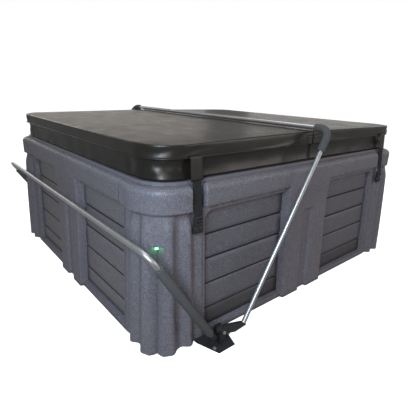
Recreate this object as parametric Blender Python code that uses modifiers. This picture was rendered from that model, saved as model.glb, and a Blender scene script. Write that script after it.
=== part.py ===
"""Portable hot tub with a folding cover, lock-down straps and an under-mount cover lifter.

Metres, +Z up. The origin is on the floor under the centre of the tub. X runs along the long side,
from the lifter end (-X) to the far end (+X). The cover folds along Y, at x = 0.
"""
from math import atan2, cos, hypot, pi, sin, tan

import bmesh
import bpy
from mathutils import Matrix, Vector

# ---------------------------------------------------------------- driving dimensions
LENGTH = 2.14            # footprint along X
WIDTH = 1.97             # footprint along Y
LEDGE = 0.80             # height of the flange that runs round under the cover
SHOULDER = 0.785         # top of the cabinet, under the flange
GAP = 0.0003             # between pieces that touch

# cabinet skin
COLUMN = 0.285           # corner column, measured along each side from the corner
SKIN = 0.06              # thickness of the foam-filled corner moulding
BATTER = 0.025 / 0.66    # the walls lean in by this much for each metre of height
FRIEZE_LOW = 0.675       # underside of the plain band round the top
FRIEZE_OUT = 0.03        # how far the band stands out from the wall under it
WALL_THICK = 0.025
WALL_IN = 0.008          # wall face, inwards from the footprint
OPENING_LOW = 0.03
OPENING_HIGH = 0.65
OPENING_RADIUS = 0.055
EDGE_STRIP = 0.012       # wall left between an opening and the corner column
PILASTER_OUT = 0.02      # pilaster face, outwards from the wall face
PILASTER_HALF_LONG = 0.19
PILASTER_HALF_END = 0.16
GROOVE_HALF = 0.04
GROOVE_HIGH = 0.52
GROOVE_DEEP = 0.018
BOARD_GROOVES = (0.13, 0.267, 0.40, 0.525)
BOARD_GROOVE_WIDE = 0.008
BOARD_GROOVE_DEEP = 0.005
PANEL_THICK = 0.018

# corner column ribs, as (distance from the corner along the side, half width, height)
RIBS = ((0.195, 0.045, 0.026), (0.095, 0.040, 0.014))
COLUMN_IN = 0.012
COLUMN_TOP = 0.665
RIB_FADE = 0.09
FLUTE_HALF = 0.042
FLUTE_DEEP = 0.032
FLUTE_HIGH = 0.53
RADIUS_LOW = 0.07
RADIUS_HIGH = 0.19
SLOT_START = 0.205       # the strap slot in the frieze lies between here and the column's end
SLOT_DEEP = 0.036

# cover
COVER_INSET = 0.037
COVER_LOW = 0.8853
COVER_TOP_EDGE = 0.955
COVER_TOP_FOLD = 0.967
COVER_RADIUS = 0.16
SKIRT_IN = 0.018
SKIRT_THICK = 0.010
SKIRT_LOW = 0.8035
FOLD_HALF_GAP = 0.004

# vessel
RIM_HIGH = 0.885
RIM_HALF = (0.94, 0.86)
WELL_HALF = (0.86, 0.79)
SEAT_HIGH = 0.45
FOOT_HALF = (0.50, 0.42)
FOOT_HIGH = 0.12
SHELL = 0.025
FLANGE_HALF = (1.03, 0.945)

# straps
STRAP_X = 0.83
STRAP_WIDE = 0.05
STRAP_THICK = 0.003
STRAP_TOP = Vector((0.0, 0.9525, 0.903))     # hinge line, on the +Y side
STRAP_END = Vector((0.0, 0.9765, 0.6455))
BUCKLE = (0.046, 0.018, 0.045)
LOCK = (0.052, 0.022, 0.034)
LOCK_IN = 0.9685                             # the lock's inner face, on the column
STRAP_TUCK = 0.012                           # webbing inside the buckle

# lifter
PIVOT = Vector((-0.735, 0.06))               # x and z of the swing axis
BAR = Vector((0.0, 0.985))                   # x and z of the cross bar over the fold
ARM_Y = 1.05
TUBE_R = 0.0125
ARM_ANGLE = 59.06 * pi / 180
BEND_R = 0.06
ELBOW_R = 0.014
ELBOW_KNEE = Vector((-0.5861, 0.008))
ELBOW_SOCKET = 0.11
FOAM_OUT = 0.021
FOAM_IN = 0.0132
CRADLE_FOOT = Vector((-0.795, 0.06))
CRADLE_BEND = Vector((-1.125, 0.565))
BOLT_R = 0.006
BOSS_R = 0.020
PLATE_THICK = 0.005
PLATE_HALF = 0.09
PLATE_X = -0.75
PLATE_OUT = 1.12
PLATE_IN = 0.80
EAR_HALF = 0.02
EAR_THICK = 0.006
EAR_HIGH = 0.082
SOCKET_R = 0.018

# ---------------------------------------------------------------- start clean
for old in list(bpy.data.objects):
    bpy.data.objects.remove(old, do_unlink=True)

parts = bpy.data.collections.new("hot_tub")
bpy.context.scene.collection.children.link(parts)


def material(name, colour, roughness, metallic=0.0):
    made = bpy.data.materials.new(name)
    made.use_nodes = True
    shader = made.node_tree.nodes["Principled BSDF"]
    shader.inputs["Base Color"].default_value = (*colour, 1.0)
    shader.inputs["Roughness"].default_value = roughness
    shader.inputs["Metallic"].default_value = metallic
    return made


GRANITE = material("granite_moulding", (0.125, 0.125, 0.150), 0.6)
BOARD = material("board_panel", (0.095, 0.092, 0.100), 0.6)
PAN = material("base_pan", (0.03, 0.03, 0.03), 0.7)
SHELL_WHITE = material("vessel_shell", (0.55, 0.55, 0.56), 0.35)
VINYL = material("cover_vinyl", (0.035, 0.027, 0.024), 0.35)
WEBBING = material("strap_webbing", (0.015, 0.015, 0.015), 0.8)
BLACK = material("black_plastic", (0.015, 0.015, 0.016), 0.45)
STEEL = material("galvanised_tube", (0.55, 0.55, 0.56), 0.35, 1.0)
COATED = material("coated_steel", (0.02, 0.02, 0.022), 0.5, 0.6)
FOAM = material("foam_sleeve", (0.065, 0.065, 0.068), 0.9)
LAMP = material("corner_lamp", (0.5, 0.9, 0.6), 0.2)
MOTOR = material("pump_paint", (0.10, 0.11, 0.13), 0.5, 0.3)
PLEATED = material("filter_media", (0.75, 0.76, 0.78), 0.9)


# ---------------------------------------------------------------- modelling helpers
def place(name, mesh, look):
    mesh.materials.clear()
    mesh.materials.append(look)
    made = bpy.data.objects.new(name, mesh)
    parts.objects.link(made)
    return made


def bmesh_object(name, shape, look):
    bmesh.ops.recalc_face_normals(shape, faces=shape.faces)
    mesh = bpy.data.meshes.new(name)
    shape.to_mesh(mesh)
    shape.free()
    return place(name, mesh, look)


def box(name, low, high, look, radius=0.0, steps=4):
    """A box between two corners; a radius rounds its upright edges."""
    low = Vector(low)
    high = Vector(high)
    shape = bmesh.new()
    bmesh.ops.create_cube(shape, size=1.0)
    bmesh.ops.scale(shape, vec=high - low, verts=shape.verts)
    bmesh.ops.translate(shape, vec=(low + high) / 2, verts=shape.verts)
    if radius:
        upright = [e for e in shape.edges if abs(e.verts[0].co.z - e.verts[1].co.z) > 1e-6]
        bmesh.ops.bevel(
            shape, geom=upright, offset=radius, segments=steps, profile=0.5, affect="EDGES")
    return bmesh_object(name, shape, look)


def cylinder(name, radius, start, end, look, sides=20):
    start = Vector(start)
    along = Vector(end) - start
    shape = bmesh.new()
    turn = along.to_track_quat("Z", "Y").to_matrix().to_4x4()
    bmesh.ops.create_cone(
        shape, cap_ends=True, segments=sides, radius1=radius, radius2=radius, depth=along.length,
        matrix=Matrix.Translation(start + along / 2) @ turn,
    )
    made = bmesh_object(name, shape, look)
    made.data.shade_smooth()
    made.data.set_sharp_from_angle(angle=pi / 4)
    return made


def baked(made):
    """Apply an object's modifiers, or turn a curve into a mesh, and weld what meets."""
    seen = bpy.context.evaluated_depsgraph_get()
    mesh = bpy.data.meshes.new_from_object(made.evaluated_get(seen))
    mesh.transform(made.matrix_world)
    name = made.name
    look = made.data.materials[0]
    bpy.data.objects.remove(made, do_unlink=True)
    shape = bmesh.new()
    shape.from_mesh(mesh)
    bmesh.ops.remove_doubles(shape, verts=shape.verts, dist=1e-6)
    bmesh.ops.dissolve_degenerate(shape, edges=shape.edges, dist=1e-6)
    return bmesh_object(name, shape, look)


def combine(made, operation, tools):
    """Join to, or cut from, an object with other objects, which are used up."""
    for tool in tools:
        change = made.modifiers.new(tool.name, "BOOLEAN")
        change.operation = operation
        change.solver = "EXACT"
        change.object = tool
    result = baked(made)
    for tool in tools:
        bpy.data.objects.remove(tool, do_unlink=True)
    return result


def prism(name, outline, thickness, look):
    """A flat outline in its own XY plane, thickened equally to both sides."""
    curve = bpy.data.curves.new(name, "CURVE")
    curve.dimensions = "2D"
    curve.fill_mode = "BOTH"
    curve.extrude = thickness / 2
    line = curve.splines.new("POLY")
    line.points.add(len(outline) - 1)
    for point, (x, y) in zip(line.points, outline):
        point.co = (x, y, 0.0, 1.0)
    line.use_cyclic_u = True
    curve.materials.append(look)
    made = bpy.data.objects.new(name, curve)
    parts.objects.link(made)
    return baked(made)


def turned(made, matrix):
    made.data.transform(matrix)
    return made


def filleted(points, radius, steps=6):
    """A path through the points, with an arc in place of each inner corner."""
    path = [Vector(points[0])]
    for before, corner, after in zip(points, points[1:], points[2:]):
        corner = Vector(corner)
        back = (Vector(before) - corner).normalized()
        ahead = (Vector(after) - corner).normalized()
        half = back.angle(ahead) / 2
        centre = corner + (back + ahead).normalized() * radius / sin(half)
        first = corner + back * radius / tan(half) - centre
        last = corner + ahead * radius / tan(half) - centre
        turn = first.angle(last)
        for i in range(steps + 1):
            share = i / steps
            mix = first * sin((1 - share) * turn) + last * sin(share * turn)
            path.append(centre + mix / sin(turn))
    path.append(Vector(points[-1]))
    return path


def tube(name, path, radius, look, capped=True, resolution=3):
    curve = bpy.data.curves.new(name, "CURVE")
    curve.dimensions = "3D"
    curve.bevel_depth = radius
    curve.bevel_resolution = resolution
    curve.use_fill_caps = capped
    line = curve.splines.new("POLY")
    line.points.add(len(path) - 1)
    for point, place_at in zip(line.points, path):
        point.co = (*place_at, 1.0)
    curve.materials.append(look)
    made = bpy.data.objects.new(name, curve)
    parts.objects.link(made)
    made = baked(made)
    made.data.shade_smooth()
    made.data.set_sharp_from_angle(angle=pi / 4)
    return made


def sleeve(name, path, look):
    """A hollow foam tube round a path."""
    made = tube(name, path, FOAM_IN, look, capped=False)
    wall = made.modifiers.new("wall", "SOLIDIFY")
    wall.thickness = FOAM_OUT - FOAM_IN
    wall.offset = 1.0
    return baked(made)


def batter(made):
    """Lean a wall piece, built in its own frame with -Y outwards, in by its height."""
    for vertex in made.data.vertices:
        vertex.co.y += BATTER * vertex.co.z
    return made


# ---------------------------------------------------------------- corner columns
def smooth(low, high, value):
    share = min(1.0, max(0.0, (value - low) / (high - low)))
    return share * share * (3 - 2 * share)


def rib_height(side, z):
    """How far the ribs stand out at a distance along the side from the corner."""
    total = sum(
        high * cos(pi / 2 * (side - middle) / half) ** 2
        for middle, half, high in RIBS if abs(side - middle) < half
    )
    return total * smooth(COLUMN_TOP + 0.01, COLUMN_TOP + 0.01 - RIB_FADE, z)


def corner_outline(z, share, slotted):
    """A point on the corner's outer face. share runs from -1 to 1 and is 0 on the diagonal."""
    in_cap = z > COLUMN_TOP + 0.001
    widening = 0.6 * (RADIUS_HIGH - RADIUS_LOW) * z / COLUMN_TOP
    radius = RADIUS_HIGH if in_cap else RADIUS_LOW + widening
    arc = radius * pi / 4
    run = abs(share) * (COLUMN - radius + arc)
    if run < arc:
        turn = run / radius
        side = radius - radius * cos(pi / 4 + turn)
        across = radius - radius * sin(pi / 4 + turn)
        normal = Vector((-cos(pi / 4 + turn), -sin(pi / 4 + turn)))
    else:
        side = radius + run - arc
        across = 0.0
        normal = Vector((0.0, -1.0))
    if in_cap:
        out = -0.004 if z > SHOULDER - 0.012 else 0.004
        out -= 0.016 * smooth(SHOULDER - 0.004, SHOULDER, z)
        if slotted and side > SLOT_START:
            out = -SLOT_DEEP
    else:
        out = rib_height(side, z) - COLUMN_IN * smooth(0.10, 0.16, side) - BATTER * z
        if z <= FLUTE_HIGH + 1e-6:
            out -= FLUTE_DEEP * max(0.0, 1 - run / FLUTE_HALF)
    return side + normal.x * out, across + normal.y * out


CORNER_SHARES = 14


def corner(name, sign_x, sign_y):
    """A corner moulding as a loft from the floor to the shoulder, cut away inside."""
    levels = (0.0, 0.3, FLUTE_HIGH, FLUTE_HIGH + 0.001, 0.60, COLUMN_TOP, COLUMN_TOP + 0.002,
              FRIEZE_LOW + 0.01, SHOULDER - 0.012, SHOULDER)
    shares = [i / CORNER_SHARES for i in range(-CORNER_SHARES, CORNER_SHARES + 1)]
    shape = bmesh.new()
    rings = []
    inner_radius = 0.14
    for z in levels:
        outer = []
        for share in shares:
            along, across = corner_outline(z, share, slotted=share > 0)
            x, y = (along, across) if share > 0 else (across, along)
            outer.append(shape.verts.new((x, y, z)))
        inner = []
        for share in (-1.0, -0.45, -0.22, 0.0, 0.22, 0.45, 1.0):
            arc = inner_radius * pi / 4
            run = abs(share) * (COLUMN - SKIN - inner_radius + arc)
            if abs(share) == 1.0:
                along, across = COLUMN, SKIN
            else:
                turn = min(run / inner_radius, pi / 4)
                along = SKIN + inner_radius - inner_radius * cos(pi / 4 + turn)
                across = SKIN + inner_radius - inner_radius * sin(pi / 4 + turn)
            x, y = (along, across) if share > 0 else (across, along)
            inner.append(shape.verts.new((x, y, z)))
        rings.append(outer + inner[::-1])
    for low, high in zip(rings, rings[1:]):
        count = len(low)
        for i in range(count):
            j = (i + 1) % count
            shape.faces.new((low[i], low[j], high[j], high[i]))
    for ring in (rings[0], rings[-1]):
        shape.faces.new(ring)
    made = bmesh_object(name, shape, GRANITE)
    # the loft is built for the (-X, -Y) corner; the others are mirrored
    mirror = Matrix.Diagonal((sign_x, sign_y, 1.0, 1.0))
    move = Matrix.Translation((-sign_x * LENGTH / 2, -sign_y * WIDTH / 2, 0.0))
    made = turned(made, move @ mirror)
    if sign_x * sign_y < 0:
        made.data.flip_normals()
    made.data.shade_smooth()
    made.data.set_sharp_from_angle(angle=pi / 5)
    return made


def notched(made, sign_y):
    """Clear a lifter base plate, which slides under the tub."""
    notch = box(
        "notch", (PLATE_X - PLATE_HALF - GAP, -0.3, -0.01),
        (PLATE_X + PLATE_HALF + GAP, 0.3, PLATE_THICK + GAP),
        BLACK)
    turned(notch, Matrix.Translation((0.0, sign_y * WIDTH / 2, 0.0)))
    return combine(made, "DIFFERENCE", [notch])


SIDES = {"front": -1, "back": 1}
ENDS = {"left": -1, "right": 1}
for side, sign_y in SIDES.items():
    for end, sign_x in ENDS.items():
        column = corner(f"corner_{side}_{end}", -sign_x, -sign_y)
        if end == "left":
            notched(column, sign_y)


# ---------------------------------------------------------------- walls and board panels
def opening_outline(start, end):
    """An opening in the wall's XZ plane, with its upper corner next to the column rounded."""
    outline = [(start, OPENING_LOW), (start, OPENING_HIGH)]
    way = 1 if end > start else -1
    for i in range(7):
        turn = pi / 2 * i / 6
        outline.append((
            end - way * OPENING_RADIUS * (1 - sin(turn)),
            OPENING_HIGH - OPENING_RADIUS * (1 - cos(turn)),
        ))
    outline.append((end, OPENING_LOW))
    return outline


UPRIGHT = Matrix.Rotation(pi / 2, 4, "X")     # stands an XY outline up in the XZ plane


def wall(name, half, pilaster):
    """A side wall in its own frame: -Y outwards, y = 0 on the footprint line."""
    end = half - GAP
    made = box(name, (-end, WALL_IN, 0.0), (end, WALL_IN + WALL_THICK, SHOULDER), GRANITE)
    frieze = box(
        "frieze", (-end, WALL_IN - FRIEZE_OUT, FRIEZE_LOW),
        (end, WALL_IN + WALL_THICK - 0.002, SHOULDER), GRANITE)
    post = box(
        "post", (-pilaster, WALL_IN - PILASTER_OUT, 0.0),
        (pilaster, WALL_IN + 0.012, FRIEZE_LOW + 0.01), GRANITE)
    joined = combine(made, "UNION", [frieze, post])
    opening_end = end - EDGE_STRIP
    tools = []
    for way in (-1, 1):
        hole = prism("opening", opening_outline(way * pilaster, way * opening_end), 0.3, GRANITE)
        tools.append(turned(hole, UPRIGHT))
    tools.append(box("groove", (-GROOVE_HALF, -0.1, -0.1),
                     (GROOVE_HALF, WALL_IN - PILASTER_OUT + GROOVE_DEEP, GROOVE_HIGH), GRANITE))
    return batter(combine(joined, "DIFFERENCE", tools))


def panel(name, start, end):
    """A board-effect panel behind an opening: a grooved section run along the wall."""
    face = WALL_IN + WALL_THICK + GAP
    outline = [(face, 0.0)]
    for z in BOARD_GROOVES:
        outline += [
            (face, z - BOARD_GROOVE_WIDE / 2),
            (face + BOARD_GROOVE_DEEP, z),
            (face, z + BOARD_GROOVE_WIDE / 2),
        ]
    top = OPENING_HIGH + 0.02
    outline += [(face, top), (face + PANEL_THICK, top), (face + PANEL_THICK, 0.0)]
    made = prism(name, outline, abs(end - start), BOARD)
    # section x becomes the wall's y, section y becomes z, and the run lies along x
    stand = Matrix(((0, 0, 1, (start + end) / 2), (1, 0, 0, 0), (0, 1, 0, 0), (0, 0, 0, 1)))
    return batter(turned(made, stand))


def to_side(quarter_turns, distance):
    """From a wall's own frame to the side of the tub that it stands on."""
    turn = Matrix.Rotation(pi / 2 * quarter_turns, 4, "Z")
    return turn @ Matrix.Translation((0.0, -distance, 0.0))


WALLS = {
    "front": (0, LENGTH / 2, WIDTH / 2, PILASTER_HALF_LONG, "left", "right"),
    "right": (1, WIDTH / 2, LENGTH / 2, PILASTER_HALF_END, "front", "back"),
    "back": (2, LENGTH / 2, WIDTH / 2, PILASTER_HALF_LONG, "right", "left"),
    "left": (3, WIDTH / 2, LENGTH / 2, PILASTER_HALF_END, "back", "front"),
}
for side, (turns, half, distance, pilaster, low_end, high_end) in WALLS.items():
    stand = to_side(turns, distance)
    piece = turned(wall(f"wall_{side}", half - COLUMN, pilaster), stand)
    start = pilaster - 0.01
    end = half - COLUMN - 0.003
    boards = [turned(panel(f"panel_{side}_{low_end}", -end, -start), stand),
              turned(panel(f"panel_{side}_{high_end}", start, end), stand)]
    if side in SIDES:
        notched(piece, SIDES[side])
        for board in boards:
            if board.name.endswith("left"):
                notched(board, SIDES[side])

# ---------------------------------------------------------------- base pan
pan = box("base_pan", (-0.985, -0.90, 0.0), (0.985, 0.90, 0.03), PAN, radius=0.14)
for side, sign_y in SIDES.items():
    pan = notched(pan, sign_y)


# ---------------------------------------------------------------- vessel
def middle_box(name, half, low, high, look, radius):
    return box(name, (-half[0], -half[1], low), (half[0], half[1], high), look, radius=radius, steps=5)


foot_outer = (FOOT_HALF[0] + SHELL, FOOT_HALF[1] + SHELL)
vessel = middle_box("vessel", RIM_HALF, SEAT_HIGH - SHELL, RIM_HIGH, SHELL_WHITE, 0.12)
vessel = combine(vessel, "UNION", [
    middle_box("flange", FLANGE_HALF, SHOULDER + GAP, LEDGE, SHELL_WHITE, 0.16),
    middle_box("foot_shell", foot_outer, FOOT_HIGH - SHELL, SEAT_HIGH - 0.001, SHELL_WHITE, 0.10),
])
FILTER_AT = Vector((0.70, 0.0))
FILTER_R = 0.10
LID_LOW = 0.70
LID_THICK = 0.025
KEYPAD_Y = -0.825
KEYPAD_HALF = Vector((0.085, 0.022))
KEYPAD_DEEP = 0.006
KNOB_AT = Vector((0.90, 0.35))
KNOB_R = 0.0285
KNOB_DEEP = 0.022
well = middle_box("well", WELL_HALF, SEAT_HIGH, RIM_HIGH + 0.1, SHELL_WHITE, 0.10)
foot_well = middle_box("foot_well", FOOT_HALF, FOOT_HIGH, SEAT_HIGH + 0.05, SHELL_WHITE, 0.08)
keypad_seat = box(
    "keypad_seat", (-KEYPAD_HALF.x, KEYPAD_Y - KEYPAD_HALF.y, RIM_HIGH - KEYPAD_DEEP),
    (KEYPAD_HALF.x, KEYPAD_Y + KEYPAD_HALF.y, RIM_HIGH + 0.1), SHELL_WHITE)
knob_hole = cylinder(
    "knob_hole", KNOB_R + 0.0015,
    (*KNOB_AT, RIM_HIGH - KNOB_DEEP), (*KNOB_AT, RIM_HIGH + 0.1), SHELL_WHITE)
vessel = combine(vessel, "DIFFERENCE", [well, foot_well, keypad_seat, knob_hole])

box("keypad", (-KEYPAD_HALF.x + GAP, KEYPAD_Y - KEYPAD_HALF.y + GAP, RIM_HIGH - KEYPAD_DEEP + GAP),
    (KEYPAD_HALF.x - GAP, KEYPAD_Y + KEYPAD_HALF.y - GAP, RIM_HIGH - 0.001),
    BLACK, radius=0.006, steps=2)

# diverter knob: a disc and a grip bar, recessed into the rim so that the cover clears it
disc = cylinder(
    "diverter_knob", KNOB_R,
    (*KNOB_AT, RIM_HIGH - KNOB_DEEP + GAP), (*KNOB_AT, RIM_HIGH - 0.010), BLACK)
grip = box("grip", (KNOB_AT.x - 0.024, KNOB_AT.y - 0.005, RIM_HIGH - 0.012),
           (KNOB_AT.x + 0.024, KNOB_AT.y + 0.005, RIM_HIGH - 0.001), BLACK)
combine(disc, "UNION", [grip])

# filter cartridge standing on the seat, with its lid
cylinder(
    "filter_cartridge", FILTER_R - 0.02,
    (*FILTER_AT, SEAT_HIGH + GAP), (*FILTER_AT, LID_LOW), PLEATED, sides=28)
cylinder(
    "filter_lid", FILTER_R,
    (*FILTER_AT, LID_LOW + GAP), (*FILTER_AT, LID_LOW + LID_THICK), SHELL_WHITE, sides=28)

# two jets in the seat backs
for side, sign_y in SIDES.items():
    inner = sign_y * (WELL_HALF[1] - GAP)
    cylinder(f"jet_{side}", 0.045, (0.0, inner, 0.62), (0.0, inner - sign_y * 0.012, 0.62), BLACK)

# ---------------------------------------------------------------- equipment under the front seat
PUMP_Y = -0.67
PUMP_Z = 0.15
cylinder("pump_wet_end", 0.095, (-0.30, PUMP_Y, PUMP_Z), (-0.20, PUMP_Y, PUMP_Z), BLACK)
cylinder("pump_motor", 0.075, (-0.20 + GAP, PUMP_Y, PUMP_Z), (0.05, PUMP_Y, PUMP_Z), MOTOR)
cylinder("heater", 0.04, (0.15, PUMP_Y, 0.35), (0.55, PUMP_Y, 0.35), STEEL)
box("control_box", (0.20, -0.75, 0.04), (0.50, -0.62, 0.28), BLACK)

# ---------------------------------------------------------------- corner lamps under the flute roofs
LAMP_IN = 0.058           # from the corner of the footprint, along each side
LAMP_R = 0.007
for side, sign_y in SIDES.items():
    for end, sign_x in ENDS.items():
        at_x = sign_x * (LENGTH / 2 - LAMP_IN)
        at_y = sign_y * (WIDTH / 2 - LAMP_IN)
        cylinder(f"corner_lamp_{side}_{end}", LAMP_R, (at_x, at_y, FLUTE_HIGH - 0.008),
                 (at_x, at_y, FLUTE_HIGH - GAP), LAMP)


# ---------------------------------------------------------------- cover
def half_outline(grow, end):
    """Half of the cover in plan, on the -X side, with two rounded outer corners."""
    far = LENGTH / 2 - COVER_INSET - grow
    wide = WIDTH / 2 - COVER_INSET - grow
    radius = COVER_RADIUS - grow
    outline = [(end, -wide)]
    for centre_y, first in ((-wide + radius, 1.5), (wide - radius, 1.0)):
        for i in range(7):
            turn = pi * (first - 0.5 * i / 6)
            outline.append((-far + radius + radius * cos(turn), centre_y + radius * sin(turn)))
    outline.append((end, wide))
    return outline


def slab(name, grow, end, low, high):
    made = prism(name, half_outline(grow, end), high - low, VINYL)
    return turned(made, Matrix.Translation((0.0, 0.0, (low + high) / 2)))


def cover_half(name, sign):
    """A tapered foam slab with the skirt that hangs from it on three sides."""
    made = slab(name, 0.0, -FOLD_HALF_GAP, COVER_LOW, COVER_TOP_EDGE)
    far = LENGTH / 2 - COVER_INSET
    for vertex in made.data.vertices:
        if vertex.co.z > COVER_TOP_EDGE - 1e-4:
            vertex.co.z += (COVER_TOP_FOLD - COVER_TOP_EDGE) * (1 + vertex.co.x / far)
    skirt = slab("skirt", SKIRT_IN, -FOLD_HALF_GAP, SKIRT_LOW, COVER_LOW + 0.02)
    hollow = slab("hollow", SKIRT_IN + SKIRT_THICK, 0.1, SKIRT_LOW - 0.1, COVER_LOW + 0.1)
    skirt = combine(skirt, "DIFFERENCE", [hollow])
    made = combine(made, "UNION", [skirt])
    if sign > 0:
        turned(made, Matrix.Rotation(pi, 4, "Z"))
    return made


cover_half("cover_left", -1)
cover_half("cover_right", 1)


# ---------------------------------------------------------------- straps, buckles and locks
STRAP_LEAN = atan2(STRAP_END.y - STRAP_TOP.y, STRAP_TOP.z - STRAP_END.z)
STRAP_LONG = hypot(STRAP_END.y - STRAP_TOP.y, STRAP_TOP.z - STRAP_END.z)


def strap(name, sign_x, sign_y):
    """Webbing that hangs from the cover, leaning out towards its lock, with a buckle on its end."""
    half = Vector((STRAP_WIDE / 2, STRAP_THICK / 2, 0.0))
    long = Vector((0.0, 0.0, STRAP_LONG + STRAP_TUCK))
    made = box(name, -half - long, half, WEBBING)
    turned(made, Matrix.Rotation(STRAP_LEAN, 4, "X"))
    turned(made, Matrix.Translation(STRAP_TOP))
    middle = STRAP_END + Vector((0.0, 0.001, -BUCKLE[2] / 2))
    reach = Vector(BUCKLE) / 2
    made = combine(made, "UNION", [box("buckle", middle - reach, middle + reach, BLACK)])
    if sign_y < 0:
        turned(made, Matrix.Rotation(pi, 4, "Z"))
    return turned(made, Matrix.Translation((sign_x * STRAP_X, 0.0, 0.0)))


for side, sign_y in SIDES.items():
    for end, sign_x in ENDS.items():
        strap(f"strap_{side}_{end}", sign_x, sign_y)
        lock_low = STRAP_END.z - BUCKLE[2] - GAP - LOCK[2]
        low = Vector((sign_x * STRAP_X - LOCK[0] / 2, LOCK_IN, lock_low))
        high = low + Vector(LOCK)
        if sign_y < 0:
            low.y, high.y = -high.y, -low.y
        box(f"lock_base_{side}_{end}", low, high, BLACK)


# ---------------------------------------------------------------- cover lifter
def at(point, y):
    return Vector((point.x, y, point.y))


ALONG_ARM = Vector((cos(ARM_ANGLE), sin(ARM_ANGLE)))
ALONG_CRADLE = (CRADLE_BEND - CRADLE_FOOT).normalized()
SOCKET_LOW = CRADLE_FOOT - ALONG_CRADLE * 0.035

for side, sign_y in SIDES.items():
    y = sign_y * ARM_Y
    # base plate: a tapered floor plate, two ears for the swing bolt and a socket for the cradle
    plate = prism(f"lifter_base_{side}", [
        (PLATE_X - PLATE_HALF, PLATE_IN), (PLATE_X + PLATE_HALF, PLATE_IN),
        (PLATE_X + PLATE_HALF, 1.0), (PLATE_X + 0.05, PLATE_OUT), (PLATE_X - 0.05, PLATE_OUT),
        (PLATE_X - PLATE_HALF, 1.0)], PLATE_THICK, COATED)
    turned(plate, Matrix.Translation((0.0, 0.0, PLATE_THICK / 2)))
    if sign_y < 0:
        turned(plate, Matrix.Diagonal((1, -1, 1, 1)))
        plate.data.flip_normals()
    ears = []
    for offset in (-0.022, 0.022):
        inner, outer = y + offset - EAR_THICK / 2, y + offset + EAR_THICK / 2
        ears.append(box(
            "ear", (PIVOT.x - EAR_HALF, inner, 0.001),
            (PIVOT.x + EAR_HALF, outer, EAR_HIGH), COATED))
    foot = box(
        "foot", (SOCKET_LOW.x - 0.02, y - 0.012, 0.001),
        (SOCKET_LOW.x + 0.010, y + 0.012, SOCKET_LOW.y + 0.004), COATED)
    socket_high = CRADLE_FOOT - ALONG_CRADLE * GAP
    socket = cylinder("socket", SOCKET_R, at(SOCKET_LOW, y), at(socket_high, y), COATED)
    plate = combine(plate, "UNION", [*ears, foot, socket])
    hole = cylinder("bolt_hole", BOLT_R + 0.0001, at(PIVOT, y - 0.1), at(PIVOT, y + 0.1), COATED)
    plate = combine(plate, "DIFFERENCE", [hole])
    cylinder(f"pivot_bolt_{side}", BOLT_R, at(PIVOT, y - 0.032), at(PIVOT, y + 0.032), STEEL)

    # elbow: a bent link from the bolt to the foot of the arm
    on_arm = ELBOW_KNEE + ALONG_ARM * ELBOW_SOCKET
    link_path = filleted([at(PIVOT, y), at(ELBOW_KNEE, y), at(on_arm, y)], BEND_R)
    link = tube(f"elbow_{side}", link_path, ELBOW_R, COATED)
    boss = cylinder("boss", BOSS_R, at(PIVOT, y - 0.0185), at(PIVOT, y + 0.0185), COATED)
    link = combine(link, "UNION", [boss])
    hole = cylinder("bolt_hole", BOLT_R + 0.0003, at(PIVOT, y - 0.1), at(PIVOT, y + 0.1), COATED)
    combine(link, "DIFFERENCE", [hole])

    # arm: up to the bend beside the cover and along the fold to the middle
    arm_foot = on_arm + ALONG_ARM * GAP
    joiner_end = Vector((BAR.x, sign_y * 0.0303, BAR.y))
    arm_path = filleted([at(arm_foot, y), at(BAR, y), joiner_end], BEND_R)
    tube(f"arm_{side}", arm_path, TUBE_R, STEEL)
    foam_low = at(BAR - ALONG_ARM * 0.13, y)
    foam_end = Vector((BAR.x, sign_y * 0.956, BAR.y))
    sleeve(f"corner_foam_{side}", filleted([foam_low, at(BAR, y), foam_end], BEND_R), FOAM)

    # long foam sleeve on the cradle's leg
    leg_low = CRADLE_FOOT + ALONG_CRADLE * 0.05
    leg_high = CRADLE_BEND - ALONG_CRADLE * 0.075
    sleeve(f"cradle_foam_{side}", [at(leg_low, y), at(leg_high, y)], FOAM)

tube("bar_joiner", [at(BAR, -0.03), at(BAR, 0.03)], TUBE_R + 0.0012, STEEL)
tube("cradle_frame", filleted([
    at(CRADLE_FOOT, -ARM_Y), at(CRADLE_BEND, -ARM_Y), at(CRADLE_BEND, ARM_Y), at(CRADLE_FOOT, ARM_Y)],
    BEND_R), TUBE_R, STEEL)
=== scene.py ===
"""Looks for the portable hot tub: moulded granite cabinet, vinyl cover, straps and cover lifter."""
from math import cos, hypot, pi, radians, sin, sqrt, tan

import bmesh
import bpy
from mathutils import Matrix, Vector, noise


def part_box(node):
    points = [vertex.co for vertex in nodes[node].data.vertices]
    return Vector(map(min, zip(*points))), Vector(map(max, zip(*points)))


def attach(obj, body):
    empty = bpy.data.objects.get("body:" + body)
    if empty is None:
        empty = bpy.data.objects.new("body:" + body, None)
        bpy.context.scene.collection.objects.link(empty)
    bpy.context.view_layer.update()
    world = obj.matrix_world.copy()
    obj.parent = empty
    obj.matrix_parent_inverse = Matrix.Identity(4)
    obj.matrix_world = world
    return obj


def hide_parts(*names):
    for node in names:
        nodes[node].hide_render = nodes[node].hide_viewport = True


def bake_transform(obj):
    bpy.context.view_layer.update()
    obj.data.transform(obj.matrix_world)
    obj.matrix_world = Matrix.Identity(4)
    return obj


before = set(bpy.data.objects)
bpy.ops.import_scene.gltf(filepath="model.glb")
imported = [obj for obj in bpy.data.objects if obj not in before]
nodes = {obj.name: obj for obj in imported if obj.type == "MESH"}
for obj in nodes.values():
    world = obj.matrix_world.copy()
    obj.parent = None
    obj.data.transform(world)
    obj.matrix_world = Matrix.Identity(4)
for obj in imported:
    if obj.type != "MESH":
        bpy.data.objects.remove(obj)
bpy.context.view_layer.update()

SIDES = {"front": -1, "back": 1}
ENDS = {"left": -1, "right": 1}

# ---- places
wall_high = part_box("wall_front")[1]

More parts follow.
